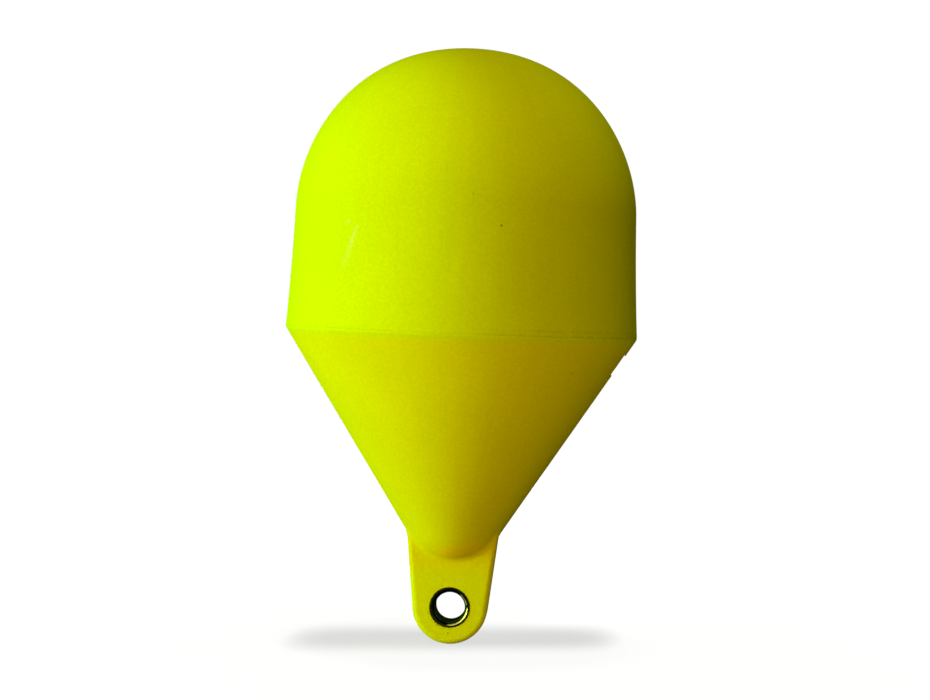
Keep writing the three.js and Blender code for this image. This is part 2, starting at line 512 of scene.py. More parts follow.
@dataclass(frozen=True)
class SignalPlastic:
    """Matt signal-yellow polyethylene as it comes out of a blasted mould.

    Attributes:
        name: The material's name.
        eye: The centre of the eye, around which dirt gathers and shade is painted.
        eye_radius: The radius of the hole that the bush sits in.
        girth: The float's radius at its seam.
        colour: Its plain colour.
        bands: Its other tones, from the top down, painted shade and painted bounce light among them.
        patch_shade: How much of its light a deeper patch keeps.
        tint_share: How deep the broad patches are.
        fleck_share: How deep the flecks are.
        flow_share: How deep the flow streaks are.
        chalk: The colour of worn and scratched plastic.
        worn_share: How much chalk shows where it is worn.
        worn_height: How far its wear stands out of its texture.
        worn_roughness: How much more matt it is there.
        grime_and_shade: The colour of dirt, and of the painted shade under the bush.
        grime_roughness: How much more matt dirt is.
        texture_depth: How deep the moulded texture is.
        peel_share: How much of that depth is the coarse part.
        pore_share: How much of it is the fine part.
        crown: How far the middle of the lug's flat faces stands out of its edges.
        crown_reach: How far from the float's axis those edges are.
        crown_heights: Where the crown starts under the cone, and where it is full.
        roughness: How matt it is on average.
        tint_roughness: How much that varies with the broad patches.
        fleck_roughness: How much it varies with the flecks.
        flow_squeeze: How slowly the flow streaks change down the float.
        scuff_squeeze: How the scuffs are drawn out, along X, Y and Z.
        break_squeeze: How the breaks in the seam's traces are, in the same way.
        clean_side: Where along X the seam's dark traces start and are full, as shares of the girth.
        clean_share: How much of the traces the clean side keeps.
        joint_reach: How far the grime of the bush's joint spreads.
        joint_share: How much it hides.
        eye_shade_reach: How far the painted shade under the bush spreads.
        eye_shade_share: How much of the plastic the painted shade hides.
        eye_shade_way: The painted shade's direction from the eye.
        eye_shade_sides: How far along that direction it starts and is full, as shares of the hole's
            radius.
    """

    name: str
    eye: Vector
    eye_radius: float
    girth: float
    colour: Colour = (0.65, 0.75, 0.0)
    bands: tuple[Band, ...] = ()
    patch_shade: float = 0.82
    tint_share: float = 0.2
    fleck_share: float = 0.4
    flow_share: float = 0.1
    chalk: Colour = (0.80, 0.82, 0.12)
    worn_share: float = 0.05
    worn_height: float = 0.2
    worn_roughness: float = 0.1
    grime_and_shade: Colour = (0.12, 0.12, 0.0)
    grime_roughness: float = 0.2
    texture_depth: float = 0.048 * MM
    peel_share: float = 0.7
    pore_share: float = 0.3
    crown: float = 0.0
    crown_reach: float = 42 * MM
    crown_heights: tuple[float, float] = (-235 * MM, -264 * MM)
    roughness: float = 0.6
    tint_roughness: float = 0.08
    fleck_roughness: float = 0.06
    flow_squeeze: float = 0.06
    scuff_squeeze: Triple = (0.35, 0.35, 2.0)
    break_squeeze: Triple = (1.0, 1.0, 3.0)
    clean_side: tuple[float, float] = (-0.1, 0.45)
    clean_share: float = 0.05
    joint_reach: float = 0.5 * MM
    joint_share: float = 0.6
    eye_shade_reach: float = 4 * MM
    eye_shade_share: float = 0.55
    eye_shade_way: Triple = (-0.55, 0.0, -0.83)
    eye_shade_sides: tuple[float, float] = (0.55, 0.95)

    def make(self) -> bpy.types.Material:
        """Builds the material.

        Returns:
            The material, ready for a piece's slot.
        """
        tree = ShaderTree(self.name)
        tint, flecks = tree.grain(TINT), tree.grain(FLECKS)
        worn, dirt = self.scuffs(tree), self.seam_grime(tree)
        base = self.moulded_colour(tree, tint, flecks)
        base = tree.mix(worn * self.worn_share, base, self.chalk)
        base = tree.mix(dirt, base, self.grime_and_shade)
        # Dirt in the bush's joint and painted shade under its -X side.
        base = tree.mix(self.eye_grime_and_shade(tree), base, self.grime_and_shade)
        # Specks and streaks: stains, a painted highlight on the skirt and painted shade on the cone's
        # tip.
        for mark in MARKS:
            base = tree.mix(mark.cover(tree), base, mark.colour)
        texture = tree.grain(PEEL) * self.peel_share + tree.grain(PORES) * self.pore_share
        height = (texture + worn * self.worn_height) * self.texture_depth + self.lug_crown(tree)
        matt = (tint - MEAN_NOISE) * self.tint_roughness + (flecks - MEAN_NOISE) * self.fleck_roughness
        return tree.surface(
            Base_Color=base,
            Roughness=matt + worn * self.worn_roughness + dirt * self.grime_roughness + self.roughness,
            Normal=tree.bump(height),
            Specular_IOR_Level=0.0,
        )

    def moulded_colour(self, tree: ShaderTree, tint: Signal, flecks: Signal) -> Signal:
        """The plastic's colour with its bands, painted shade and bounce light among them, before wear
        and dirt.

        Args:
            tree: The material's tree.
            tint: The noise of the broad patches.
            flecks: The noise of the flecks.

        Returns:
            The colour.
        """
        patches = TINT.lumps(tint) * self.tint_share + FLECKS.lumps(flecks) * self.fleck_share
        patches = patches + FLOW.lumps(self.flow(tree)) * self.flow_share
        plain: Value = self.colour
        for band in self.bands:
            plain = tree.mix(tree.part("Z").ramp(band.top, band.bottom), plain, band.colour)
        return tree.mix(patches, plain, tree.vector("SCALE", plain, scale=self.patch_shade))

    def lug_crown(self, tree: ShaderTree) -> Signal:
        """The height of the slight crown across the lug's flat faces.

        Args:
            tree: The material's tree.

        Returns:
            The height, in metres.
        """
        across = tree.part("X") / self.crown_reach
        low = tree.part("Z").ramp(*self.crown_heights)
        return (1.0 - across * across) * low * self.crown

    def flow(self, tree: ShaderTree) -> Signal:
        """Faint streaks down the float, as the melt ran in the mould.

        Args:
            tree: The material's tree.

        Returns:
            The noise of the streaks.
        """
        aside = tree.vector("NORMALIZE", tree.vector("MULTIPLY", tree.place, (1, 1, 0)))
        around = tree.vector("MULTIPLY", aside, (self.girth,) * 3)
        down = tree.vector("MULTIPLY", tree.place, (0, 0, self.flow_squeeze))
        return tree.grain(FLOW, tree.vector("ADD", around, down))

    def scuffs(self, tree: ShaderTree) -> Signal:
        """Faint chalky rubs where the float meets hulls and piers.

        Args:
            tree: The material's tree.

        Returns:
            How worn the surface is, from 0 to 1.
        """
        rubs = tree.grain(LONG_SCUFFS, tree.vector("MULTIPLY", tree.place, self.scuff_squeeze))
        return LONG_SCUFFS.lumps(rubs) * SCUFFED_PLACES.lumps(tree.grain(SCUFFED_PLACES))

    def seam_grime(self, tree: ShaderTree) -> Signal:
        """Faint, broken dark traces that cling to the girth seam, heavier towards +X.

        Args:
            tree: The material's tree.

        Returns:
            How much of the plastic they hide.
        """
        traces: Value = 0.0
        for trace in TRACES:
            traces = trace.cover(tree.part("Z")) + traces
        breaks = tree.grain(SEAM_BREAKS, tree.vector("MULTIPLY", tree.place, self.break_squeeze))
        start, full = (share * self.girth for share in self.clean_side)
        side = tree.part("X").ramp(start, full) * (1.0 - self.clean_share) + self.clean_share
        return SEAM_BREAKS.lumps(breaks) * traces * side

    def eye_grime_and_shade(self, tree: ShaderTree) -> Signal:
        """Grime in the joint around the bush, and painted shade under its -X side.

        Args:
            tree: The material's tree.

        Returns:
            How much of the plastic it hides.
        """
        radius = tree.from_axis(self.eye, (1, 0, 1))
        joint = radius.ramp(self.eye_radius + self.joint_reach, self.eye_radius)
        eye_shade = radius.ramp(self.eye_radius + self.eye_shade_reach, self.eye_radius)
        offset = tree.vector("SUBTRACT", tree.place, tuple(self.eye))
        low = tree.vector("DOT_PRODUCT", offset, self.eye_shade_way, output="Value")
        start, full = (share * self.eye_radius for share in self.eye_shade_sides)
        patches = EYE_SHADE_PATCHES.lumps(tree.grain(EYE_SHADE_PATCHES))
        return joint * self.joint_share + eye_shade * low.ramp(start, full) * patches * self.eye_shade_share


@dataclass(frozen=True)
class PaintedReflection:
    """A painted reflection: a bright arc on a flare of the bush where a lamp's glint falls.

    Attributes:
        middle: The direction of its middle from the eye's axis, from +X towards +Z.
        reach: How far it goes to each side, as an angle.
        radius: The radius that it follows.
        width: Half its width.
        strength: How much of the tarnish the painted reflection covers.
        full_reach: The share of its reach over which it is at its brightest.
        full_width: Where across its width it ends, and where it is at its brightest, as shares.
    """

    middle: float
    reach: float
    radius: float
    width: float
    strength: float = 1.0
    full_reach: float = 0.7
    full_width: tuple[float, float] = (1.25, 0.6)

    def cover(self, tree: ShaderTree, eye: Vector, radius: Signal) -> Signal:
        """How much the painted reflection covers the steel.

        Args:
            tree: The material's tree.
            eye: The centre of the eye.
            radius: How far the surface is from the eye's axis.

        Returns:
            The painted reflection's share, from 0 to 1.
        """
        offset = tree.vector("SUBTRACT", tree.place, tuple(eye))
        toward = (math.cos(self.middle), 0, math.sin(self.middle))
        facing = tree.vector("DOT_PRODUCT", offset, toward, output="Value") / radius
        around = facing.ramp(math.cos(self.reach), math.cos(self.reach * self.full_reach))
        edge, core = (share * self.width for share in self.full_width)
        return abs(radius - self.radius).ramp(edge, core) * around * self.strength


# Painted reflections: bright arcs on the bush's flares where a lamp's glint falls.
PAINTED_REFLECTIONS = (
    PaintedReflection(math.radians(-47), math.radians(54), 19.6 * MM, 0.85 * MM),
    PaintedReflection(math.radians(33), math.radians(25), 19.3 * MM, 0.55 * MM),
)


@dataclass(frozen=True)
class TarnishedSteel:
    """Steel gone dark in salt water, with painted shade in its throat and painted reflections on its
    flares.

    Attributes:
        name: The material's name.
        eye: The centre of the eye.
        throat: The throat's radius.
        bright: The colour of the painted reflections.
        colour: The metal under a thin film.
        tarnish: The colour of the thick film.
        film_share: How much of the metal the thick film hides.
        film_on_arcs: How much of a painted reflection's shine it takes.
        film_wander: How far it shifts the dirt's edge.
        dirt: The colour of the painted shade in the throat.
        throat_shade_edge: How far out of the throat the painted shade starts to thin, and ends.
        roughness: How matt the smooth metal is.
        throat_roughness: How much more matt the throat is.
        arc_roughness: How much more matt a painted reflection arc is.
        film_roughness: How much more matt the thick film is.
        pit_roughness: How much more matt a pit is.
        pit_depth: How deep the pits are.
        pit_strength: How much of that depth shows.
    """

    name: str
    eye: Vector
    throat: float
    bright: Colour = (0.85, 0.78, 0.16)
    colour: Colour = (0.006, 0.011, 0.003)
    tarnish: Colour = (0.003, 0.006, 0.001)
    film_share: float = 0.6
    film_on_arcs: float = 0.25
    film_wander: float = 0.5 * MM
    dirt: Colour = (0.016, 0.045, 0.002)
    throat_shade_edge: tuple[float, float] = (0.4 * MM, 1.4 * MM)
    roughness: float = 0.22
    throat_roughness: float = 0.5
    arc_roughness: float = 0.3
    film_roughness: float = 0.08
    pit_roughness: float = 0.05
    pit_depth: float = 0.02 * MM
    pit_strength: float = 0.5

    def make(self) -> bpy.types.Material:
        """Builds the material.

        Returns:
            The material, ready for a piece's slot.
        """
        tree = ShaderTree(self.name)
        film, pits = FILM.lumps(tree.grain(FILM)), tree.grain(PITS)
        radius = tree.from_axis(self.eye, (1, 0, 1))
        start, end = (self.throat + reach for reach in self.throat_shade_edge)
        flare = (radius + (film - MEAN_NOISE) * self.film_wander).ramp(start, end)
        metal = tree.mix(film * self.film_share, self.colour, self.tarnish)
        painted_shine: Value = 0.0
        for reflection_arc in PAINTED_REFLECTIONS:
            shine = reflection_arc.cover(tree, self.eye, radius) * (1.0 - film * self.film_on_arcs)
            metal = tree.mix(shine, metal, self.bright)
            painted_shine = shine + painted_shine
        matt = (1.0 - flare) * self.throat_roughness + painted_shine * self.arc_roughness + self.roughness
        # Painted shade: the throat takes the dark green colour dirt; the flares carry painted
        # reflections.
        return tree.surface(
            Base_Color=tree.mix(flare, self.dirt, metal),
            Metallic=flare,
            Roughness=matt + film * self.film_roughness + pits * self.pit_roughness,
            Normal=tree.bump(pits, self.pit_depth, self.pit_strength),
            Specular_IOR_Level=0.0,
        )


# ---------------------------------------------------------------------------
# Skins
# ---------------------------------------------------------------------------


def arc(centre: Vector, radius: float, start: float, end: float, steps: int) -> Outline:
    """Points on an arc in the XZ plane.

    Args:
        centre: The arc's centre.
        radius: Its radius.
        start: The angle of its first point, from +X towards +Z.
        end: The angle of its last point.
        steps: How many steps it takes.

    Returns:
        The points, both ends included.
    """
    angles = (start + (end - start) * i / steps for i in range(steps + 1))
    return [centre + radius * Vector((math.cos(a), 0.0, math.sin(a))) for a in angles]


def eased(part: float) -> float:
    """A smooth step from 0 to 1."""
    return part * part * (3 - 2 * part)


def spin(outline: Outline, axis: Axis, steps: int, centre: Vector = Vector()) -> BMesh:
    """Turns an outline about an axis into a skin with its seams and poles closed.

    Args:
        outline: The points to turn, from one end to the other.
        axis: The axis to turn about.
        steps: How many faces go round.
        centre: A point on the axis.

    Returns:
        The skin, facing out.
    """
    skin = bmesh.new()
    points = [skin.verts.new(point) for point in outline]
    lines = [skin.edges.new(pair) for pair in zip(points, points[1:])]
    bmesh.ops.spin(
        skin,
        geom=[*points, *lines],
        cent=centre,
        axis=axis.value,
        angle=FULL_TURN,
        steps=steps,
        use_merge=True,
    )
    close(skin)
    return skin


def close(skin: BMesh, reach: float = WELD) -> None:
    """Merges doubled points and turns every face outwards.

    Args:
        skin: The skin that is changed.
        reach: How near two points are to be one.
    """
    bmesh.ops.remove_doubles(skin, verts=skin.verts, dist=reach)
    bmesh.ops.dissolve_degenerate(skin, edges=skin.edges, dist=reach)
    bmesh.ops.recalc_face_normals(skin, faces=skin.faces)


def to_object(skin: BMesh, name: str) -> bpy.types.Object:
    """Turns a skin into an object at the origin.

    Args:
        skin: The skin. It is freed.
        name: The object's name.

    Returns:
        The object, in the scene.
    """
    mesh = bpy.data.meshes.new(name)
    skin.to_mesh(mesh)
    skin.free()
    made = bpy.data.objects.new(name, mesh)
    bpy.context.scene.collection.objects.link(made)
    return made


def take_away(body: BMesh, tool: BMesh) -> BMesh:
    """Cuts one skin out of another.

    Args:
        body: The skin that is cut. It is freed.
        tool: What is taken out of it. It is freed.

    Returns:
        The skin with the cut.
    """
    first = to_object(body, "cut_body")
    second = to_object(tool, "cut_tool")
    modifier = first.modifiers.new("cut", "BOOLEAN")
    modifier.operation = "DIFFERENCE"
    modifier.solver = "MANIFOLD"
    modifier.object = second
    evaluated = first.evaluated_get(bpy.context.evaluated_depsgraph_get())
    result = bmesh.new()
    result.from_mesh(evaluated.to_mesh())
    evaluated.to_mesh_clear()
    for spent in (first, second):
        mesh = spent.data
        bpy.data.objects.remove(spent)
        bpy.data.meshes.remove(mesh)
    close(result)
    return result


# ---------------------------------------------------------------------------
# Pieces
# ---------------------------------------------------------------------------


@dataclass
class Piece:
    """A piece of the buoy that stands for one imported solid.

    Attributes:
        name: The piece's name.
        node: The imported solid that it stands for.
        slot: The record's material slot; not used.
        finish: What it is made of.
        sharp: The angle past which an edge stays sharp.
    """

    name: str
    node: str
    slot: str
    finish: Union[SignalPlastic, TarnishedSteel]
    sharp: float = math.radians(40)

    def skin(self) -> BMesh:
        """The piece's skin, in its place."""
        raise NotImplementedError

    def build(self) -> bpy.types.Object:
        """Builds the piece and binds it to the frame.

        Returns:
            The finished object.
        """
        skin = self.skin()
        for face in skin.faces:
            face.smooth = True
        for edge in skin.edges:
            edge.smooth = edge.calc_face_angle(0.0) < self.sharp
        made = to_object(skin, self.name)
        self.dress(made)
        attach(made, "root")
        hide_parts(self.node)
        LOG.info("%s: %d faces", self.name, len(made.data.polygons))
        return made

    def dress(self, made: bpy.types.Object) -> None:
        """Gives the object its material, made once for every piece that shares it."""
        made.data.materials.append(bpy.data.materials.get(self.finish.name) or self.finish.make())


@dataclass
class UpperHalf(Piece):
    """The skirt and dome.

    Attributes:
        skirt_height: From the girth seam up to the shoulder.
        skirt_flare: How much wider the girth is than the shoulder, in radius.
        shoulder_draft: How far the wall leans at the shoulder.
        crown_pull: How far the level crown leads the dome's curve outwards.
        shoulder_pull: How far the upright shoulder leads the dome's curve upwards.
        skirt_steps: The rows up the skirt.
        dome_steps: The rows up the dome.
        round_steps: The faces round it.
    """

    skirt_height: float = 136.5 * MM
    skirt_flare: float = 6.2 * MM
    shoulder_draft: float = math.radians(1.4)
    crown_pull: float = 133.5 * MM
    shoulder_pull: float = 76.5 * MM
    skirt_steps: int = 24
    dome_steps: int = 64
    round_steps: int = 256

    def skin(self) -> BMesh:
        """The skirt and dome, closed by the face that lies on the seam.

        Returns:
            The skin.
        """
        lowest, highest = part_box(self.node)
        girth, crown = highest.x, highest.z
        lean = math.tan(self.shoulder_draft)
        shoulder = Vector((girth - self.skirt_flare, 0, self.skirt_height))
        middle = shoulder + Vector((lean, 0, -1)) * self.skirt_height / 2
        start = Vector((girth, 0, lowest.z + SEAM_EASING))
        skirt = geometry.interpolate_bezier(
            start,
            start.lerp(middle, PULL),
            shoulder.lerp(middle, PULL),
            shoulder,
            self.skirt_steps,
        )
        dome = geometry.interpolate_bezier(
            shoulder,
            shoulder + Vector((-lean, 0, 1)) * self.shoulder_pull,
            Vector((self.crown_pull, 0, crown)),
            Vector((0, 0, crown)),
            self.dome_steps,
        )
        rim_centre = Vector((girth - SEAM_EASING, 0, start.z))
        rim = arc(rim_centre, SEAM_EASING, -QUARTER_TURN, 0.0, SEAM_EASING_STEPS)
        return spin([Vector((0, 0, lowest.z)), *rim[:-1], *skirt, *dome[1:]], Axis.Z, self.round_steps)


@dataclass
class LowerHalf(Piece):
    """The knuckle, the cone and the lug moulded on its tip.

    Attributes:
        half_angle: The cone's half angle.
        knuckle_radius: The rounding under the girth.
        tip_radius: The radius of the cone's round tip.
        foot_radius: The radius of the lug's round foot.
        thickness: The lug's thickness.
        taper: How far each side of the lug leans.
        lug_edge: The rounding of the lug's edges.
        fillet: The rounding of the hollow where the lug's sides grow out of the cone.
        face_fillet: The same where its flat faces do.
        hole_edge: The chamfer of the hole for the bush.
        root_top: The height at which the plain cone ends and the lug's root starts.
        landing_drop: How far the middle of the plug's landing lies under the seam.
        landing_length: The landing's length down the cone.
        landing_depth: How deep the landing is at its middle.
        pocket_depth: How far the plug's head goes under the landing.
        landing_width: More than the landing's width across the cone.
        columns: The columns across half a side, an edge and half a face of the lug.
        knuckle_steps: The rows round the knuckle.
        flank_rows: The rows down the plain cone.
        root_rows: The rows from the plain cone down to the hollow.
        side_rows: The rows from the hollow down to the lug's round foot.
        foot_rows: The rows round a quarter of the foot.
        packing: How much closer than even the rows lie at the hollow.
        hole_steps: The faces round the hole for the bush.
        pocket_steps: The faces round the pocket for the plug's head.
        root_search: The least and most that the hollow lies above the foot, up the lug's side.
        root_halvings: How many times that range is halved to find it.
    """

    half_angle: float = math.radians(32.75)
    knuckle_radius: float = 8 * MM
    tip_radius: float = 58.6 * MM
    foot_radius: float = 42.7 * MM
    thickness: float = 44 * MM
    taper: float = math.radians(6.3)
    lug_edge: float = 6 * MM
    fillet: float = 2 * MM
    face_fillet: float = 5 * MM
    hole_edge: float = 0.8 * MM
    root_top: float = -185 * MM
    landing_drop: float = 32.5 * MM
    landing_length: float = 27.2 * MM
    landing_depth: float = 2.4 * MM
    pocket_depth: float = 2.5 * MM
    landing_width: float = 200 * MM
    columns: tuple[int, int, int] = (12, 10, 38)
    knuckle_steps: int = 8
    flank_rows: int = 24
    root_rows: int = 28
    side_rows: int = 36
    foot_rows: int = 30
    packing: float = 0.5
    hole_steps: int = 128
    pocket_steps: int = 96
    root_search: tuple[float, float] = (30 * MM, 130 * MM)
    root_halvings: int = 30

    def __post_init__(self) -> None:
        """Works out the places that follow from the frame."""
        self.lowest, self.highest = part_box(self.node)
        girth = self.highest.x
        end_radius = girth - self.knuckle_radius * (1 - math.cos(self.half_angle))
        end_height = -self.knuckle_radius * math.sin(self.half_angle)
        self.apex = end_height - end_radius / math.tan(self.half_angle)
        self.tip_centre = self.apex + self.tip_radius / math.sin(self.half_angle)
        bush_low, bush_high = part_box("eye_bush")
        self.eye = (bush_low + bush_high) / 2
        self.eye_radius = (bush_high.x - bush_low.x) / 2 + SEAT_CLEARANCE
        self.side, self.edge, self.face = self.columns
        self.quarter = sum(self.columns)

    # The plain forms -------------------------------------------------------

    def to_cone(self, point: Vector) -> float:
        """How far a point is outside the cone with its round tip.

        Args:
            point: The point.

        Returns:
            The distance; less than 0 inside.
        """
        radius = math.hypot(point.x, point.y)
        across, along = math.cos(self.half_angle), math.sin(self.half_angle)
        if radius * along + (point.z - self.tip_centre) * across > 0:
            return radius * across - (point.z - self.apex) * along
        return math.hypot(radius, point.z - self.tip_centre) - self.tip_radius

    def to_lug(self, point: Vector) -> float:
        """How far a point is outside the lug's plate.

        Args:
            point: The point.

        Returns:
            The distance; less than 0 inside.
        """
        aside, up = abs(point.x), point.z - self.apex
        lean, upright = math.sin(self.taper), math.cos(self.taper)
        if up * upright + aside * lean > 0:
            outline = aside * upright - up * lean - self.foot_radius
        else:
            outline = math.hypot(aside, up) - self.foot_radius
        flat = Vector((outline, abs(point.y) - self.thickness / 2)) + Vector((self.lug_edge,) * 2)
        outside = math.hypot(max(flat.x, 0.0), max(flat.y, 0.0))
        return outside + min(max(flat), 0.0) - self.lug_edge

    def to_both(self, point: Vector) -> float:
        """How far a point is outside the cone and lug, with the hollow between them rounded.

        Args:
            point: The point.

        Returns:
            The distance; less than 0 inside.
        """
        cone, lug, fillet = self.to_cone(point), self.to_lug(point), self.hollow(point)
        if max(cone, lug) < fillet:
            return fillet - math.hypot(fillet - cone, fillet - lug)
        return min(cone, lug)

    def hollow(self, point: Vector) -> float:
        """The hollow's rounding at a point, which widens from the lug's sides to its faces.

        Args:
            point: The point.

        Returns:
            The rounding's radius.
        """
        part = (abs(point.y) - self.thickness / 2) / (2 * self.lug_edge) + 1
        part = min(max(part, 0.0), 1.0)
        return self.fillet + (self.face_fillet - self.fillet) * eased(part)

    def settle(self, point: Vector, rounds: int = 4, step: float = 0.02 * MM) -> Vector:
        """Moves a point near the surface onto it.

        Args:
            point: The point.
            rounds: How many times it is moved.
            step: The distance over which the slope is taken.

        Returns:
            The point on the rounded surface.
        """
        ways = [Vector([step * (i == j) for j in range(3)]) for i in range(3)]
        for _ in range(rounds):
            rise = [self.to_both(point + way) - self.to_both(point - way) for way in ways]
            slope = Vector(rise) / (2 * step)
            point = point - slope * (self.to_both(point) / max(slope.length_squared, LEAST_SLOPE))
        return point

    # Rows and columns ------------------------------------------------------

    def lug_point(self, column: float, rise: float, turn: float) -> Vector:
        """A point of the lug's quarter at +X and +Y.

        Args:
            column: The column, counted from the middle of the side to the middle of the face.
            rise: How far up the leaning side the row is.
            turn: How far round the foot the row is, from level.

        Returns:
            The point.
        """
        out = Vector((math.cos(turn), 0, -math.sin(turn)))
        up = Vector((math.sin(self.taper), 0, math.cos(self.taper)))
        rim = Vector((0, 0, self.apex)) + out * self.foot_radius + up * rise
        flat = self.thickness / 2 - self.lug_edge
        if column <= self.side:
            return rim + Vector((0, flat * column / self.side, 0))
        bend = QUARTER_TURN * min((column - self.side) / self.edge, 1.0)
        point = rim - out * self.lug_edge * (1 - math.cos(bend))
        point.y = flat + self.lug_edge * math.sin(bend)
        point.x *= 1 - max(column - self.side - self.edge, 0.0) / self.face
        return point

    def root_rise(self, column: float) -> float:
        """How far up the lug's side a column meets the cone.

        Args:
            column: The column.

        Returns:
            The rise from the foot.
        """
        low, high = self.root_search
        for _ in range(self.root_halvings):
            middle = (low + high) / 2
            if self.to_cone(self.lug_point(column, middle, self.taper)) > 0:
                low = middle
            else:
                high = middle
        return low

    def cone_point(self, way: float, turn: float) -> Vector:
        """A point of the cone or its round tip.

        Args:
            way: How far up the flank from where the round tip ends; less than 0 on the tip.
            turn: The direction from the axis, from +X towards +Y.

        Returns:
            The point.
        """
        angle = self.half_angle - min(way, 0.0) / self.tip_radius
        flank = max(way, 0.0)
        radius = self.tip_radius * math.cos(angle) + flank * math.sin(self.half_angle)
        height = self.tip_centre - self.tip_radius * math.sin(angle) + flank * math.cos(self.half_angle)
        return Vector((radius * math.cos(turn), radius * math.sin(turn), height))

    def cone_way(self, height: float) -> float:
        """How far up the flank from the round tip a height is.

        Args:
            height: The height.

        Returns:
            The way up the flank; less than 0 on the tip.
        """
        drop = self.tip_centre - height
        tip_drop = self.tip_radius * math.sin(self.half_angle)
        if drop < tip_drop:
            return (tip_drop - drop) / math.cos(self.half_angle)
        return -(math.asin(drop / self.tip_radius) - self.half_angle) * self.tip_radius

    def root_point(self, row: int, column: int, rise: float) -> Vector:
        """A point of the quarter at +X and +Y, under the plain cone.

        Args:
            row: The row, from 0 at the plain cone to the last at the foot's lowest line.
            column: The column.
            rise: How far up the lug's side the column meets the cone.

        Returns:
            The point on the rounded surface.
        """
        if row <= self.root_rows:
            hollow = self.lug_point(column, rise, self.taper)
            near = 1 - row / self.root_rows
            far = self.packed(near)
            low, high = self.cone_way(hollow.z), self.cone_way(self.root_top)
            turn = math.atan2(hollow.y, hollow.x)
            plain = QUARTER_TURN * column / self.quarter
            warp = eased(near)
            return self.settle(self.cone_point(low + (high - low) * far, turn + (plain - turn) * warp))
        if row <= self.root_rows + self.side_rows:
            part = self.packed((row - self.root_rows) / self.side_rows)
            return self.settle(self.lug_point(column, rise * (1 - part), self.taper))
        part = (row - self.root_rows - self.side_rows) / self.foot_rows
        return self.lug_point(column, 0.0, self.taper + (QUARTER_TURN - self.taper) * part)

    def packed(self, part: float) -> float:
        """Moves a row's share of its way nearer to the hollow, which is at 0."""
        return part * (1 - self.packing + self.packing * part)

    def turned(self) -> BMesh:
        """The seam's face, knuckle and cone, with a straight stem for the rows under them.

        Returns:
            The skin.
        """
        girth = self.highest.x
        centre = Vector((girth - self.knuckle_radius, 0, 0))
        rim_angle = math.asin(SEAM_EASING / self.knuckle_radius)
        knuckle = arc(centre, self.knuckle_radius, -rim_angle, -self.half_angle, self.knuckle_steps)
        rim_centre = Vector((knuckle[0].x - SEAM_EASING, 0, -SEAM_EASING))
        rim = arc(rim_centre, SEAM_EASING, QUARTER_TURN, 0.0, SEAM_EASING_STEPS)
        root = self.cone_point(self.cone_way(self.root_top), 0.0)
        flank = [knuckle[-1].lerp(root, i / self.flank_rows) for i in range(1, self.flank_rows + 1)]
        rows = self.root_rows + self.side_rows + self.foot_rows
        stem = [root - Vector((0, 0, STEM_ROW * i)) for i in range(1, rows + 1)]
        outline = [Vector((0, 0, 0)), *rim[:-1], *knuckle, *flank, *stem]
        return spin(outline, Axis.Z, QUARTERS * self.quarter)

    def body(self) -> BMesh:
        """The cone and lug in one, shaped by pulling the stem's rows onto the lug.

        Returns:
            The skin.
        """
        skin = self.turned()
        rises = [self.root_rise(column) for column in range(self.quarter + 1)]
        quarter: dict[tuple[int, int], Vector] = {}
        for vert in skin.verts:
            row = round((self.root_top - vert.co.z) / STEM_ROW)
            if row <= 0:
                continue
            turn = math.atan2(abs(vert.co.y), abs(vert.co.x))
            column = round(turn / QUARTER_TURN * self.quarter)
            if (row, column) not in quarter:
                point = self.root_point(row, column, rises[column])
                if column in (0, self.quarter):
                    point[1 - column // self.quarter] = 0.0
                quarter[row, column] = point
            sides = Vector((math.copysign(1, vert.co.x), math.copysign(1, vert.co.y), 1))
            vert.co = quarter[row, column] * sides
        close(skin)
        return skin

    # What is cut out of them -----------------------------------------------

    def eye_hole(self) -> BMesh:
        """What the hole for the bush takes out of the lug, its chamfers with it.

        Returns:
            The skin.
        """
        inner = self.thickness / 2 - self.hole_edge
        outer = inner + CUT_REACH
        corners = ((self.eye_radius, inner), (self.eye_radius + CUT_REACH, outer), (0, outer))
        half = [Vector((*corner, 0)) for corner in corners]
        other = [Vector((point.x, -point.y, 0)) for point in reversed(half)]
        return spin([point + self.eye for point in (*other, *half)], Axis.Y, self.hole_steps, self.eye)

    def landing_place(self) -> Matrix:
        """The landing's place.

        Returns:
            The middle of its floor, with Z square out of the cone.
        """
        height = -self.landing_drop
        radius = (height - self.apex) * math.tan(self.half_angle)
        outward = Vector((math.cos(self.half_angle), 0, -math.sin(self.half_angle)))
        middle = Vector((radius, 0, height)) - outward * self.landing_depth
        tilt = Matrix.Rotation(QUARTER_TURN + self.half_angle, MATRIX_SIZE, "Y")
        return Matrix.Translation(middle) @ tilt

    def landing(self) -> BMesh:
        """What the landing takes off the cone.

        Returns:
            The skin.
        """
        slot = bmesh.new()
        size = Matrix.Diagonal((self.landing_length, self.landing_width, CUT_REACH, 1))
        place = self.landing_place() @ Matrix.Translation((0, 0, CUT_REACH / 2)) @ size
        bmesh.ops.create_cube(slot, size=1.0, matrix=place)
        return slot

    def pocket(self) -> BMesh:
        """The round pocket that the plug's head sits in.

        Returns:
            The skin.
        """
        low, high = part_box("filler_plug")
        radius = (high.y - low.y) / 2 + SEAT_CLEARANCE
        skin = bmesh.new()
        bmesh.ops.create_cone(
            skin,
            cap_ends=True,
            segments=self.pocket_steps,
            radius1=radius,
            radius2=radius,
            depth=CUT_REACH,
            matrix=self.landing_place() @ Matrix.Translation((0, 0, CUT_REACH / 2 - self.pocket_depth)),
        )
        return skin

    def skin(self) -> BMesh:
        """The cone and lug in one, with everything cut out.

        Returns:
            The skin.
        """
        body = self.body()
        for tool in (self.eye_hole(), self.landing(), self.pocket()):
            body = take_away(body, tool)
        return body


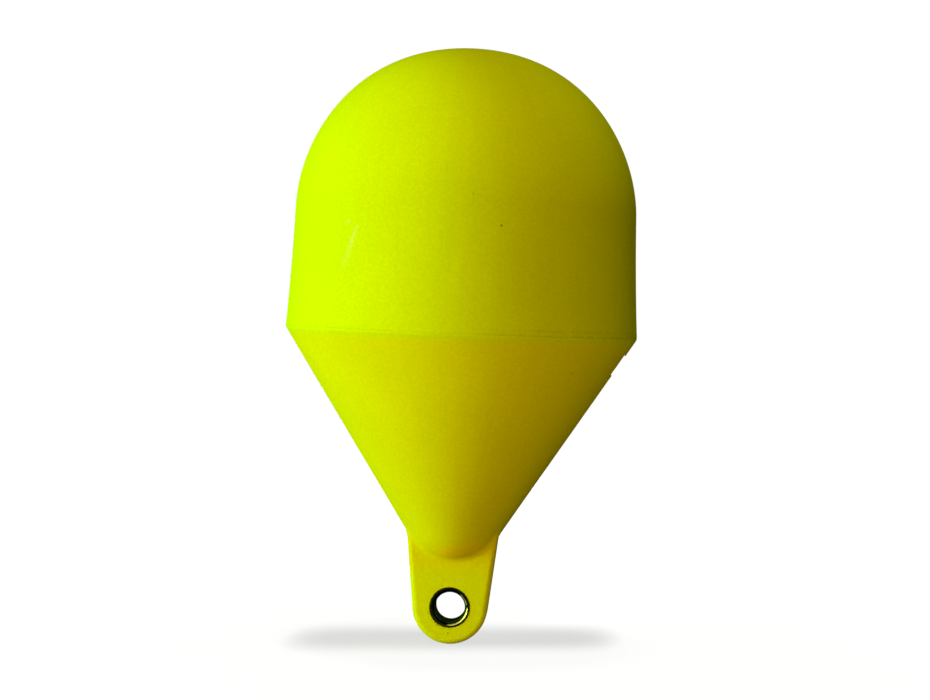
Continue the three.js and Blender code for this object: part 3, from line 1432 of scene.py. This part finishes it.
@dataclass
class EyeBush(Piece):
    """The bell-mouthed bush in the lug's eye.

    Attributes:
        throat: The radius of its throat.
        bell: The radius of the bell's curve.
        bell_sweep: How far the bell turns out before its lip.
        lip: The radius of the lip, which turns the bell into the flat end.
        chamfer: The easing of its outer edges.
        bell_steps: The rows round the bell.
        lip_steps: The rows round the lip.
        round_steps: The faces round it.
    """

    throat: float = 16.9 * MM
    bell: float = 12.56 * MM
    bell_sweep: float = math.radians(38)
    lip: float = 2.0 * MM
    chamfer: float = 0.6 * MM
    bell_steps: int = 14
    lip_steps: int = 8
    round_steps: int = 160

    def skin(self) -> BMesh:
        """The bush, turned about the eye's axis.

        Returns:
            The skin.
        """
        low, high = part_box(self.node)
        centre = (low + high) / 2
        end = (high.y - low.y) / 2
        outer = (high.x - low.x) / 2
        half = self.half_outline(outer, end)
        other = [Vector((point.x, -point.y, 0)) for point in reversed(half)]
        outline = [Vector((point.x, point.y, 0)) + centre for point in (*half, *other)]
        return spin([*outline, outline[0]], Axis.Y, self.round_steps, centre)

    def half_outline(self, outer: float, end: float) -> Outline:
        """The outline from the middle of the barrel, round the lip and into the throat.

        Args:
            outer: The barrel's radius.
            end: Half the bush's length.

        Returns:
            Points with the radius as X and the place along the bush as Y.
        """
        out = Vector((-math.cos(self.bell_sweep), math.sin(self.bell_sweep)))
        bell_start = end - self.lip - (self.bell - self.lip) * out.y
        bell_centre = Vector((self.throat + self.bell, bell_start))
        lip_centre = bell_centre + (self.bell - self.lip) * out
        corners = ((outer, 0), (outer, end - self.chamfer), (outer - self.chamfer, end))
        points = [Vector(corner) for corner in corners]
        turn = math.pi - self.bell_sweep
        for centre, radius, start, stop, steps in (
            (lip_centre, self.lip, QUARTER_TURN, turn, self.lip_steps),
            (bell_centre, self.bell, turn, math.pi, self.bell_steps),
        ):
            bend = arc(centre.to_3d().xzy, radius, start, stop, steps)
            points += [point.xz for point in bend[:-1]]
        return [*points, Vector((self.throat, bell_start))]


@dataclass
class FillerPlug(Piece):
    """The headed plug in the flat landing.

    Attributes:
        place: The middle of the landing's floor, with Z square out of it.
        head_radius: The head's radius.
        head_depth: How far the head goes under the landing.
        proud: How far it stands over it.
        edge: The rounding of its edge.
        edge_steps: The rows round that edge.
        dish_rim: Where the shallow dish in its face starts, as a share of its radius.
        dish_floor: Where the dish's floor starts, in the same way.
        dish_depth: The dish's depth.
        round_steps: The faces round it.
    """

    place: Matrix = field(kw_only=True)
    head_radius: float = 11 * MM
    head_depth: float = 2.2 * MM
    proud: float = 0.8 * MM
    edge: float = 0.7 * MM
    edge_steps: int = 5
    dish_rim: float = 0.55
    dish_floor: float = 0.52
    dish_depth: float = 0.25 * MM
    round_steps: int = 96

    def skin(self) -> BMesh:
        """The plug's head, turned about its own axis and set square on the landing.

        Returns:
            The skin.
        """
        centre = Vector((self.head_radius - self.edge, 0, self.proud - self.edge))
        floor = self.proud - self.dish_depth
        outline = [
            Vector((0, 0, -self.head_depth)),
            Vector((self.head_radius, 0, -self.head_depth)),
            *arc(centre, self.edge, 0.0, QUARTER_TURN, self.edge_steps),
            Vector((self.head_radius * self.dish_rim, 0, self.proud)),
            Vector((self.head_radius * self.dish_floor, 0, floor)),
            Vector((0, 0, floor)),
        ]
        skin = spin(outline, Axis.Z, self.round_steps)
        skin.transform(self.place)
        return skin


# ---------------------------------------------------------------------------
# Studio
# ---------------------------------------------------------------------------


@dataclass
class Studio:
    """Camera, lamps, floor and backdrop.

    Attributes:
        distance: How far the camera is from the float's axis.
        height: How high it is above the girth seam.
        turn: How far round towards +X it stands.
        roll: How far it leans.
        focal_length: The lens, on a sensor 36 mm wide.
        aim_right: How far beside the float's axis it looks, to its right.
        aim_height: How high above the girth seam it looks.
        floor_size: How far the floor reaches.
        floor_gap: How far it lies under the lug's foot.
        bounce: How much lamplight the floor throws on the float.
        floor_share: How much of its lamplight the floor shows to the camera.
        near_glow: How strongly the floor glows for the camera around the float.
        glow_reach: How far from the float's axis that glow starts to rise, and is plain white.
        shade_depth: How much weaker the glow is in the float's soft shade.
        shade_place: Where the shade's middle lies on the floor.
        shade_size: Half the shade's width and depth.
        shade_skew: How far the shade turns away from the X axis, as a slope.
        shade_ends: How square its ends are, as a power.
        shade_core: The share of its size over which it is at its deepest.
        ambient: How strongly the surroundings light the float.
    """

    distance: float = 2.8
    height: float = 39 * MM
    turn: float = math.radians(2.5)
    roll: float = math.radians(2.266)
    focal_length: float = 94.95
    aim_right: float = 4.97 * MM
    aim_height: float = -21.5 * MM
    floor_size: float = 30.0
    floor_gap: float = 0.5 * MM
    bounce: float = 0.25
    floor_share: float = 0.10
    near_glow: float = 0.93
    glow_reach: tuple[float, float] = (0.45, 1.5)
    shade_depth: float = 0.255
    shade_place: tuple[float, float] = (6 * MM, 37 * MM)
    shade_size: tuple[float, float] = (200 * MM, 150 * MM)
    shade_skew: float = 0.33
    shade_ends: float = 10.0
    shade_core: float = 0.147
    ambient: float = 0.03

    def build(self) -> None:
        """Builds everything in the studio."""
        self.camera()
        self.floor()
        self.backdrop()
        for lamp in LAMPS:
            lamp.build()

    def camera(self) -> None:
        """Sets up the scene's camera."""
        data = bpy.data.cameras.new("camera")
        data.lens = self.focal_length
        made = bpy.data.objects.new("camera", data)
        back = Vector((math.sin(self.turn), -math.cos(self.turn), 0))
        right = Vector((math.cos(self.turn), math.sin(self.turn), 0))
        made.location = back * self.distance + Vector((0, 0, self.height))
        aim = right * self.aim_right + Vector((0, 0, self.aim_height))
        facing = (aim - made.location).to_track_quat("-Z", "Y")
        lean = Matrix.Rotation(self.roll, MATRIX_SIZE, "Z").to_quaternion()
        made.rotation_mode = "QUATERNION"
        made.rotation_quaternion = facing @ lean
        bpy.context.scene.collection.objects.link(made)
        bpy.context.scene.camera = made

    def floor(self) -> None:
        """A pale floor just under the lug's foot, which shows white and keeps the buoy's shadow."""
        skin = bmesh.new()
        level = Matrix.Translation((0, 0, CAD_BOX[0].z - self.floor_gap))
        bmesh.ops.create_grid(skin, x_segments=1, y_segments=1, size=self.floor_size, matrix=level)
        made = to_object(skin, "floor")
        made.data.materials.append(self.floor_material())

    def floor_material(self) -> bpy.types.Material:
        """Matt white that glows plain white for the camera, less in a painted soft shadow under the
        float.

        Returns:
            The material.
        """
        tree = ShaderTree("floor_white")
        seen = tree.node("ShaderNodeLightPath", {}, {}, "Is Camera Ray")
        pale = tree.mix(seen, (self.bounce,) * 3, (self.floor_share,) * 3)
        matt = tree.node("ShaderNodeBsdfDiffuse", {}, {"Color": pale}, "BSDF")
        far = tree.vector("LENGTH", tree.place, output="Value").ramp(*self.glow_reach)
        strength = self.near_glow - self.shade(tree) * self.shade_depth + far * (1.0 - self.near_glow)
        glow = tree.node("ShaderNodeEmission", {}, {"Strength": seen * strength}, "Emission")
        tree.node_output(tree.node("ShaderNodeAddShader", {}, {0: matt, 1: glow}, "Shader"))
        return tree.material

    def shade(self, tree: ShaderTree) -> Signal:
        """The painted soft shadow under the float.

        Args:
            tree: The floor's tree.

        Returns:
            1 in the shade's middle and 0 outside it.
        """
        across = tree.part("X") - self.shade_place[0]
        deep = tree.part("Y") - self.shade_place[1] - across * self.shade_skew
        ends = tree.math("POWER", abs(across / self.shade_size[0]), self.shade_ends)
        sides = deep / self.shade_size[1]
        reach = tree.math("SQRT", ends + sides * sides)
        return reach.ramp(1.0, self.shade_core)

    def backdrop(self) -> None:
        """White where the camera and gloss see past the floor, and a dim fill elsewhere."""
        world = bpy.data.worlds.new("backdrop")
        world.use_nodes = True
        nodes, links = world.node_tree.nodes, world.node_tree.links
        glow = nodes["Background"]
        path = nodes.new("ShaderNodeLightPath")
        seen = nodes.new("ShaderNodeMath")
        seen.operation = "MAXIMUM"
        links.new(path.outputs["Is Camera Ray"], seen.inputs[0])
        links.new(path.outputs["Is Glossy Ray"], seen.inputs[1])
        strength = nodes.new("ShaderNodeMapRange")
        strength.inputs["To Min"].default_value = self.ambient
        strength.inputs["To Max"].default_value = 1.0
        links.new(seen.outputs[0], strength.inputs["Value"])
        links.new(strength.outputs["Result"], glow.inputs["Strength"])
        glow.inputs["Color"].default_value = (1, 1, 1, 1)
        bpy.context.scene.world = world
        bpy.context.scene.view_settings.view_transform = "Standard"


@dataclass(frozen=True)
class Lamp:
    """A soft rectangular lamp aimed at the float.

    Attributes:
        name: The lamp's name.
        place: Where it hangs.
        size: Its width and height.
        power: Its power in watts.
        tint: The colour of its light.
    """

    name: str
    place: Vector
    size: tuple[float, float]
    power: float
    tint: Colour = (1.0, 1.0, 1.0)

    def build(self) -> None:
        """Hangs the lamp."""
        data = bpy.data.lights.new(self.name, "AREA")
        data.shape = "RECTANGLE"
        data.size, data.size_y = self.size
        data.energy = self.power
        data.color = self.tint
        made = bpy.data.objects.new(self.name, data)
        made.location = self.place
        made.rotation_mode = "QUATERNION"
        made.rotation_quaternion = (-self.place).to_track_quat("-Z", "Y")
        bpy.context.scene.collection.objects.link(made)


LAMPS = (
    Lamp("key_side", Vector((-2.51, -0.67, 0.10)), (1.0, 0.7), 44.0, (0.5, 1.0, 0.35)),
    Lamp("key_near", Vector((-2.25, -1.30, 0.0)), (1.0, 0.6), 33.6, (0.765, 1.0, 0.9)),
    Lamp("front_fill", Vector((0.0, -3.40, 0.0)), (1.6, 0.6), 48.0, (1.0, 0.64, 0.7)),
    Lamp("overhead", Vector((0.0, 0.0, 7.0)), (1.2, 1.2), 217.0, (1.0, 0.875, 0.9)),
    Lamp("back_fill", Vector((0.4, 2.8, 0.4)), (1.2, 0.7), 60.0, (1.0, 0.85, 0.85)),
)

# ---------------------------------------------------------------------------
# The buoy
# ---------------------------------------------------------------------------


def pieces() -> tuple[Piece, ...]:
    """The buoy's pieces, each with its finish.

    Returns:
        The pieces, from the top down.
    """
    low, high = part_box("eye_bush")
    eye = (low + high) / 2
    eye_radius = (high.x - low.x) / 2 + SEAT_CLEARANCE
    yellow = SignalPlastic("signal_yellow_plastic", eye, eye_radius, CAD_BOX[1].x)
    # The lower half's plastic, with painted shade on the cone's tip and painted bounce light on the lug.
    golden = replace(yellow, name="golden_yellow_plastic", bands=GOLDEN_TONE_AND_PAINTED_LIGHT, crown=LUG_CROWN)
    steel = TarnishedSteel("tarnished_steel", eye, EyeBush.throat)
    lower = LowerHalf("lower_half_skin", "float_lower_half", "lower_plastic", golden)
    landing = lower.landing_place()
    return (
        UpperHalf("upper_half_skin", "float_upper_half", "upper_plastic", yellow),
        lower,
        EyeBush("eye_bush_skin", "eye_bush", "bush_steel", steel),
        FillerPlug("filler_plug_skin", "filler_plug", "plug_plastic", golden, place=landing),
    )


def main() -> None:
    """Builds the studio and the buoy, piece by piece."""
    logging.basicConfig(level=logging.INFO, format="%(name)s: %(message)s")
    Studio().build()
    for piece in pieces():
        piece.build()


if __name__ == "__main__":
    main()
